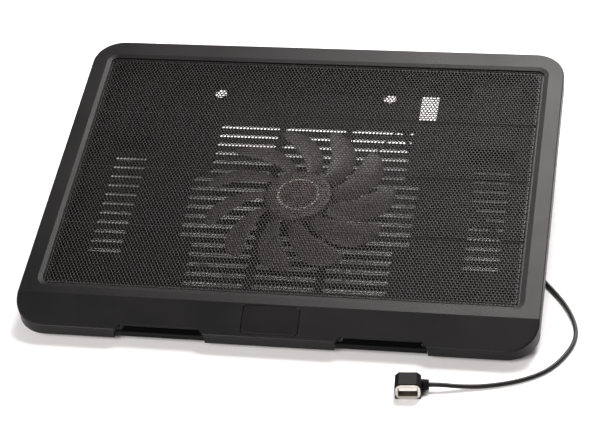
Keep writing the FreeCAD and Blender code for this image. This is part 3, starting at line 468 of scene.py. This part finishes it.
def perforatedStrip(name, values, firstRow, lastRow):
    # Sheet with a staggered grid of round holes. Every hole sits in a six-point brick:
    # its eight-sided ring joins the brick's corners and edge middles, on both faces,
    # and a wall of eight quads lines the hole.
    pitch, rowPitch = values["pitch"], values["rowPitch"]
    columns = values["columns"]
    xStart = -columns * pitch / 2
    yStart = (values["front"] + values["rear"]) / 2 - values["rows"] * rowPitch / 2
    lines = np.arange(firstRow, lastRow + 1)
    marks = np.arange(2 * columns + 1)
    lineX, lineY = np.meshgrid(xStart + marks * pitch / 2, yStart + lines * rowPitch)
    lineIndex = np.arange(lineX.size).reshape(lineX.shape)
    rowList, centreList = [], []
    for row in range(firstRow, lastRow):
        centres = np.arange(1, 2 * columns, 2) if row % 2 == 0 else np.arange(2, 2 * columns - 1, 2)
        rowList.append(np.full(len(centres), row - firstRow))
        centreList.append(centres)
    rowOf, markOf = np.concatenate(rowList), np.concatenate(centreList)
    angles = np.radians(-112.5 + 45.0 * np.arange(8))
    centreX = xStart + markOf * pitch / 2
    centreY = yStart + (rowOf + firstRow + 0.5) * rowPitch
    ringX = centreX[:, None] + values["holeRadius"] * np.cos(angles)
    ringY = centreY[:, None] + values["holeRadius"] * np.sin(angles)
    flatX = np.concatenate([lineX.ravel(), ringX.ravel()])
    flatY = np.concatenate([lineY.ravel(), ringY.ravel()])
    count = len(flatX)
    ring = lineX.size + np.arange(ringX.size).reshape(ringX.shape)
    low, high = lineIndex[rowOf], lineIndex[rowOf + 1]
    every = np.arange(len(rowOf))
    edge = [low[every, markOf - 1], low[every, markOf], low[every, markOf + 1],
            high[every, markOf + 1], high[every, markOf], high[every, markOf - 1]]
    r = [ring[:, k] for k in range(8)]
    triangles = [(edge[0], edge[1], r[0]), (edge[1], edge[2], r[1]), (edge[1], r[1], r[0]),
                 (edge[2], r[2], r[1]), (edge[3], r[4], r[3]), (edge[3], edge[4], r[4]),
                 (edge[4], r[5], r[4]), (edge[4], edge[5], r[5]), (edge[5], r[6], r[5]),
                 (edge[0], r[0], r[7])]
    quads = [(edge[2], edge[3], r[3], r[2]), (edge[5], edge[0], r[7], r[6])]
    triangles = np.concatenate([np.stack(t, -1) for t in triangles])
    quads = [np.stack(q, -1) for q in quads]
    oddRows = np.array([row - firstRow for row in range(firstRow, lastRow) if row % 2], int)
    for a, b in ((0, 1), (2 * columns - 1, 2 * columns)):
        plug = [lineIndex[oddRows, a], lineIndex[oddRows, b],
                lineIndex[oddRows + 1, b], lineIndex[oddRows + 1, a]]
        quads.append(np.stack(plug, -1))
    quads = np.concatenate(quads)
    beside = [ring[:, (k + 1) % 8] for k in range(8)]
    walls = [np.stack([r[k], beside[k], beside[k] + count, r[k] + count], -1) for k in range(8)]
    for run in (lineIndex[0], lineIndex[-1][::-1], lineIndex[:, -1], lineIndex[:, 0][::-1]):
        walls.append(np.stack([run[1:], run[:-1], run[:-1] + count, run[1:] + count], -1))
    walls = np.concatenate(walls)
    top = np.stack([flatX, flatY, np.full(count, values["top"])], -1)
    bottom = top - (0.0, 0.0, values["thickness"])
    points = padToRow(np.concatenate([top, bottom]))
    faces = [np.concatenate([triangles, triangles[:, ::-1] + count]),
             np.concatenate([quads, quads[:, ::-1] + count, walls])]
    return meshObject(name, points, faces, powderSteel)


def roundedLoop(halfWidth, front, rear, radius, perCorner, sideSteps, endSteps):
    # rounded rectangle as a closed loop of points, starting at the front left and turning
    # anticlockwise seen from above, with the same count on every loop so loops can be joined
    corners = [(halfWidth - radius, front + radius, -90), (halfWidth - radius, rear - radius, 0),
               (-halfWidth + radius, rear - radius, 90), (-halfWidth + radius, front + radius, 180)]
    runs = [endSteps, sideSteps, endSteps, sideSteps]
    pieces = []
    last = (-halfWidth + radius, front)
    for (cx, cy, angle), steps in zip(corners, runs):
        turn = np.radians(angle + np.linspace(0, 90, perCorner))
        arc = np.stack([cx + radius * np.cos(turn), cy + radius * np.sin(turn)], -1)
        share = np.linspace(0, 1, steps + 1)[:-1, None]
        pieces.append(np.array(last) * (1 - share) + arc[0] * share)
        pieces.append(arc[:-1])
        last = arc[-1]
    return np.concatenate(pieces)


def panelBorder(values):
    # plain border of the sheet: a flat ring between the hole field and the rounded outline
    fieldHalf = values["columns"] * values["pitch"] / 2
    middle = (values["front"] + values["rear"]) / 2
    fieldDeep = values["rows"] * values["rowPitch"] / 2
    steps = values["cornerSteps"], values["sideSteps"], values["endSteps"]
    inner = roundedLoop(fieldHalf, middle - fieldDeep, middle + fieldDeep, 0.001, *steps)
    outer = roundedLoop(values["halfWidth"], values["front"], values["rear"], values["cornerRadius"], *steps)
    high, low = values["top"], values["top"] - values["thickness"]
    rings = [(inner, low), (inner, high), (outer, high), (outer, low)]
    points = np.concatenate([np.column_stack([loop, np.full(len(loop), z)]) for loop, z in rings])
    quads = spreadFaces(4, len(inner), True, True)
    piece = meshObject("meshBorder", padToRow(points), [quads], powderSteel)
    weld(piece, 5e-8)
    return piece


rowSteps = np.linspace(0, panel["rows"], panel["strips"] + 1).round().astype(int)
for index, (firstRow, lastRow) in enumerate(zip(rowSteps[:-1], rowSteps[1:])):
    strip = perforatedStrip("meshField%d" % (index + 1), panel, firstRow, lastRow)
    settle(strip, "base", "mesh_steel", "mesh_panel")
settle(panelBorder(panel), "base", "mesh_steel", "mesh_panel")
print("steel mesh punched")

# ---- fan rotor: hub with eleven swept blades, moulded in one

rotor = {"centre": (0.0, -147.3), "hubRadius": 24.0, "hubTop": -6.0, "hubBottom": -14.5, "hubWall": 2.0,
         "capThick": 1.6, "edgeRound": 1.6, "boss": 3.2, "bore": 1.5, "bossDrop": 1.4,
         "blades": 11, "bladeRoot": 22.8, "bladeTip": 68.9,
         "fill": 0.68, "thickness": 1.4, "high": -5.6, "low": -15.3, "sweep": 30.0, "sweepPower": 1.15,
         "arch": 0.88, "sectionPower": 0.8, "edgePower": 0.5, "roundFrom": 0.72, "roundOver": 0.285,
         "roundPower": 2.4, "rootWidth": 0.9, "belly": 0.16, "rootPitch": 0.75, "tipThinning": 0.35,
         "ease": 0.3, "boreCap": 0.4, "stations": 26, "around": 28}


def makeHub(values):
    # cup profile: flat top, rounded shoulder, eased rim, and a boss with a blind bore for the shaft
    r, top, bottom = values["hubRadius"], values["hubTop"], values["hubBottom"]
    inside, e, ease = r - values["hubWall"], values["edgeRound"], values["ease"]
    under = top - values["capThick"]
    profile = [(0.0, top), (r * 0.4, top), (r * 0.66, top)]
    profile += roundedCorner(r - e, top - e, e, 90, 0)
    profile += [(r, bottom + ease), (r - ease, bottom), (inside + ease, bottom), (inside, bottom + ease)]
    boss, bore = values["boss"], values["bore"]
    bossEnd, boreEnd = under - values["bossDrop"], top - values["boreCap"]
    profile += [(inside, under), (boss, under), (boss, bossEnd), (bore, bossEnd), (bore, boreEnd),
                (0.0, boreEnd)]
    return revolved("fanHub", profile, values["centre"], fanPbt, 120)


def makeBlades(values):
    # Blade surface over u (0 root, 1 tip) and v (0..1 round the section): the middle line curves
    # anticlockwise with u, the chord widens with the radius and rounds off at the tip,
    # and the section is a thin arched oval that drops along the chord.
    u = np.linspace(0, 1, values["stations"])[:, None]
    turn = np.linspace(0, 2 * math.pi, values["around"], endpoint=False)[None, :]
    across = np.sign(np.cos(turn)) * np.abs(np.cos(turn)) ** values["sectionPower"]
    edgeSide = np.sign(np.sin(turn)) * np.abs(np.sin(turn)) ** values["edgePower"]
    radius = values["bladeRoot"] + (values["bladeTip"] - values["bladeRoot"]) * u
    pitchWidth = 2 * math.pi * radius / values["blades"]
    past = np.clip((u - values["roundFrom"]) / values["roundOver"], 0, 1)
    roundOff = np.sqrt(np.clip(1 - past ** values["roundPower"], 0.002, 1))
    width = values["rootWidth"] + values["belly"] * np.sin(math.pi * u)
    halfChord = values["fill"] * pitchWidth / 2 * width * roundOff
    rise = (values["high"] - values["low"]) / 2 - values["thickness"]
    pitch = values["rootPitch"] + (1 - values["rootPitch"]) * u
    height = -rise * across * pitch * roundOff + values["arch"] * (1 - across ** 2)
    height = height + (values["high"] + values["low"]) / 2
    thick = values["thickness"] / 2 * (1 - values["tipThinning"] * u) * np.clip(roundOff, 0.25, 1)
    height = height + edgeSide * thick
    sweep = np.radians(values["sweep"]) * (0.5 - u ** values["sweepPower"])
    pieces, quads = [], []
    grid = spreadFaces(values["stations"], values["around"], False, True)
    for blade in range(values["blades"]):
        middle = 2 * math.pi * blade / values["blades"] + sweep
        angle = middle + across * halfChord / radius
        x = radius * np.sin(angle) + values["centre"][0]
        y = radius * np.cos(angle) + values["centre"][1]
        pieces.append(np.stack([x, y, height], -1).reshape(-1, 3))
        quads.append(grid + blade * values["stations"] * values["around"])
    # the first and last stations are closed with one ring face each
    first = np.arange(values["around"])
    size = values["stations"] * values["around"]
    ends = []
    for blade in range(values["blades"]):
        ends.append(first + blade * size)
        ends.append(first[::-1] + (blade + 1) * size - values["around"])
    piece = meshObject("fanBlades", padToRow(np.concatenate(pieces)),
                       [np.concatenate(quads), np.array(ends)], fanPbt)
    weld(piece, 1e-7)
    piece.data.shade_smooth()
    piece.data.set_sharp_from_angle(angle=math.radians(50))
    return piece


settle(makeHub(rotor), "rotor", "rotor_plastic", "fan_rotor")
settle(makeBlades(rotor), "rotor", "rotor_plastic", "fan_rotor")

ringSize = {"outer": 15.4, "inner": 13.5, "bottom": -6.02, "top": -5.52, "round": 0.3, "steps": 120}


def makeHubRing(values):
    # flat ring with its two upper edges rounded
    outer, inner, top, e = values["outer"], values["inner"], values["top"], values["round"]
    profile = ([(inner, values["bottom"]), (outer, values["bottom"])]
               + roundedCorner(outer - e, top - e, e, 0, 90)
               + roundedCorner(inner + e, top - e, e, 90, 180))
    return revolved("hubRing", profile, rotor["centre"], ringPbt, values["steps"])


settle(makeHubRing(ringSize), "rotor", "hub_ring_plastic", "hub_ring")

labelFilm = mouldedPlastic("printedFilmLabel", {
    "dark": "#3a2420", "light": "#54352e", "cloudMm": 3.5, "grainMm": 0.5, "grainStrength": 0.1,
    "rough": (0.3, 0.42)})
dress(labelFilm, "hub_label")
print("fan made")

# ---- plug boot

bootSize = {"length": 5.0, "root": 3.85, "end": 3.45, "turn": 5.3, "rings": 3, "groove": 0.3,
            "rounds": 40, "stations": 41}


def makeBoot(values):
    # strain relief: a short sleeve that ends where the lead begins, its radius falling along
    # its length by a straight taper less a cosine groove repeated "rings" times
    angle = math.radians(values["turn"])
    along = np.array([math.cos(angle), math.sin(angle), 0.0])
    side = np.array([-math.sin(angle), math.cos(angle), 0.0])
    up = np.array([0.0, 0.0, 1.0])
    start = 0.001 * (np.array(cordSize["route"][-1]) - along * values["length"])
    t = np.linspace(0, 1, values["stations"])
    groove = values["groove"] * (1 - np.cos(2 * math.pi * t * values["rings"])) / 2
    radius = values["root"] + (values["end"] - values["root"]) * t - groove
    t = np.concatenate([[0.0], t, [1.0]])
    radius = np.concatenate([[0.0], radius, [0.0]])
    turn = np.linspace(0, 2 * math.pi, values["rounds"], endpoint=False)
    rings = (start + along * (t * values["length"] * 0.001)[:, None])[:, None, :]
    spokes = side * np.cos(turn)[:, None] + up * np.sin(turn)[:, None]
    points = rings + spokes[None] * (radius * 0.001)[:, None, None]
    quads = spreadFaces(len(t), values["rounds"], False, True)
    piece = meshObject("plugBoot", points.reshape(-1, 3), [quads], plugPvc)
    weld(piece, 1e-8)
    piece.data.shade_smooth()
    piece.data.set_sharp_from_angle(angle=math.radians(50))
    return piece


plugBoot = makeBoot(bootSize)
settle(plugBoot, "base", "gland_rubber", "cord_boot")

settle(usbLead, "base", "cord_jacket", "usb_cord")
print("plug finished")
